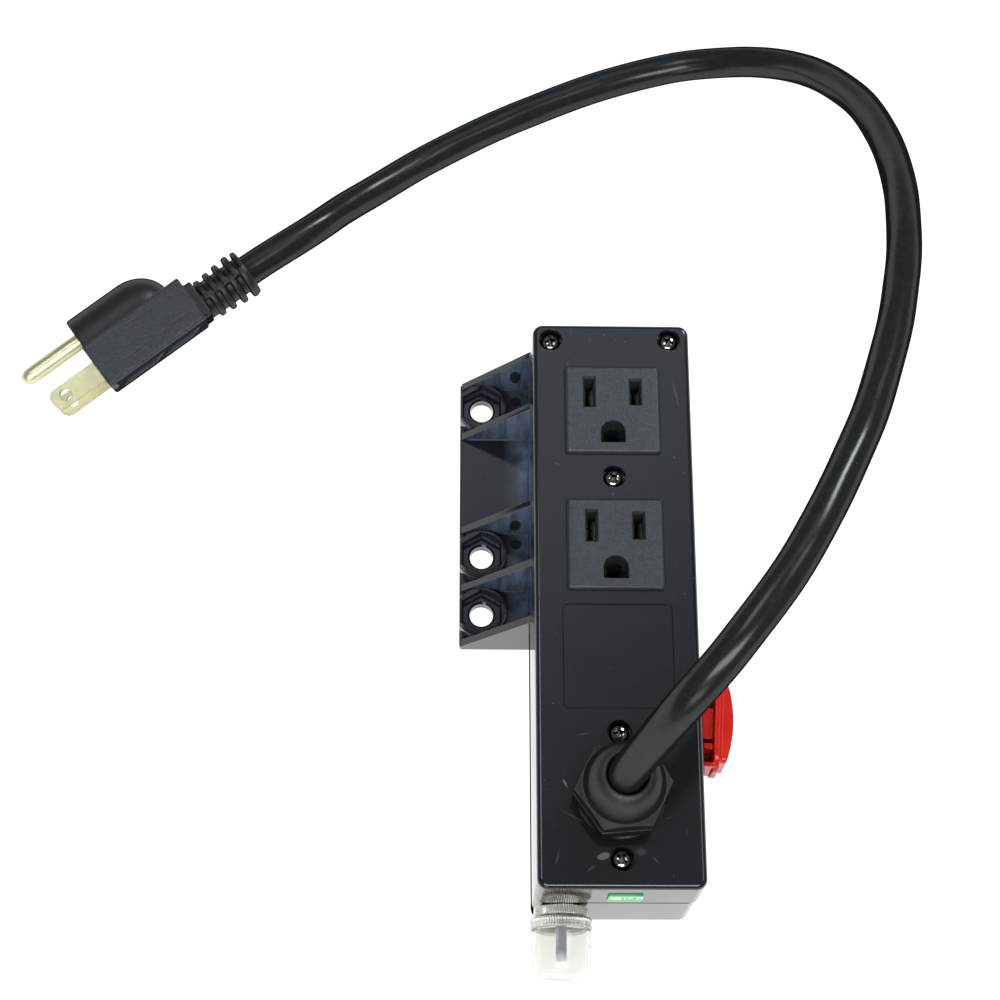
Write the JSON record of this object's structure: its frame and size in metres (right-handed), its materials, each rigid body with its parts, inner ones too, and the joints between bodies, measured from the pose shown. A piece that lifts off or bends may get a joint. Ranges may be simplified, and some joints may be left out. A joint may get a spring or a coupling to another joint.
{
  "type": "power strip",
  "caption": "Machine-mount power strip: outlet box with side bolt bracket, paddle rocker switch, resettable breaker under a clear boot, cable gland and short mains lead with plug.",
  "frame": {"origin": "centre of the housing's back face, on the surface the strip lies on", "axes": "+Z out of the front face that holds the outlets, +Y along the housing from the breaker end towards the outlet end, +X towards the side with the switch"},
  "size_m": [0.2521, 0.2895, 0.1172],
  "materials": {
    "housing_black": "glossy black moulded ABS, fine scratches",
    "outlet_black": "satin black nylon outlet face",
    "nylon_black": "satin black nylon",
    "cord_black": "smooth black PVC jacket with a soft sheen",
    "plug_black": "fine spark-textured black PVC",
    "screw_black": "black oxide, polished",
    "nickel": "bright nickel plate",
    "brass": "stamped brass",
    "blade_brass": "nickel-washed brass, slightly yellow",
    "clear_silicone": "clear milky silicone",
    "button_white": "white plastic",
    "switch_red": "glossy red plastic",
    "seal_rubber": "soft black rubber",
    "wire_black": "black PVC insulation",
    "wire_white": "white PVC insulation",
    "wire_green": "green PVC insulation",
    "sticker_green": "plain green adhesive label"
  },
  "bodies": {
    "housing": {"back_housing": "housing_black", "boot_ring": "nickel", "breaker_body": "nylon_black", "breaker_nut": "nickel", "breaker_tab_line": "brass", "breaker_tab_load": "brass", "contact_ground_lower": "brass", "contact_ground_upper": "brass", "contact_line_lower": "brass", "contact_line_upper": "brass", "contact_neutral_lower": "brass", "contact_neutral_upper": "brass", "cord": "cord_black", "cover_screw_1": "screw_black", "cover_screw_2": "screw_black", "cover_screw_3": "screw_black", "cover_screw_4": "screw_black", "cover_screw_5": "screw_black", "front_cover": "housing_black", "gland_body": "nylon_black", "gland_dome_nut": "nylon_black", "gland_locknut": "nylon_black", "gland_seal": "seal_rubber", "inspection_sticker": "sticker_green", "jumper_ground": "wire_green", "jumper_line": "wire_black", "jumper_neutral": "wire_white", "outlet_lower": "outlet_black", "outlet_lower_back": "outlet_black", "outlet_lower_base": "outlet_black", "outlet_upper": "outlet_black", "outlet_upper_back": "outlet_black", "outlet_upper_base": "outlet_black", "plug_blade_line": "blade_brass", "plug_blade_neutral": "blade_brass", "plug_body": "plug_black", "plug_ground_pin": "blade_brass", "reset_boot": "clear_silicone", "switch_body": "nylon_black", "switch_tab_line": "brass", "switch_tab_load": "brass", "wire_breaker_switch": "wire_black", "wire_ground": "wire_green", "wire_line_in": "wire_black", "wire_neutral": "wire_white", "wire_switch_line": "wire_black"},
    "rocker": {"switch_rocker": "switch_red"},
    "button": {"reset_button": "button_white"}
  },
  "joints": [
    {"name": "switch_rock", "type": "hinge", "parent": "housing", "child": "rocker", "pos_m": [0.0185, -0.031, 0.024], "axis": [0, 0, 1], "range_deg": [0, 7]},
    {"name": "reset_trip", "type": "slide", "parent": "housing", "child": "button", "axis": [0, -1, 0], "range_m": [0, 0.0025]}
  ]
}
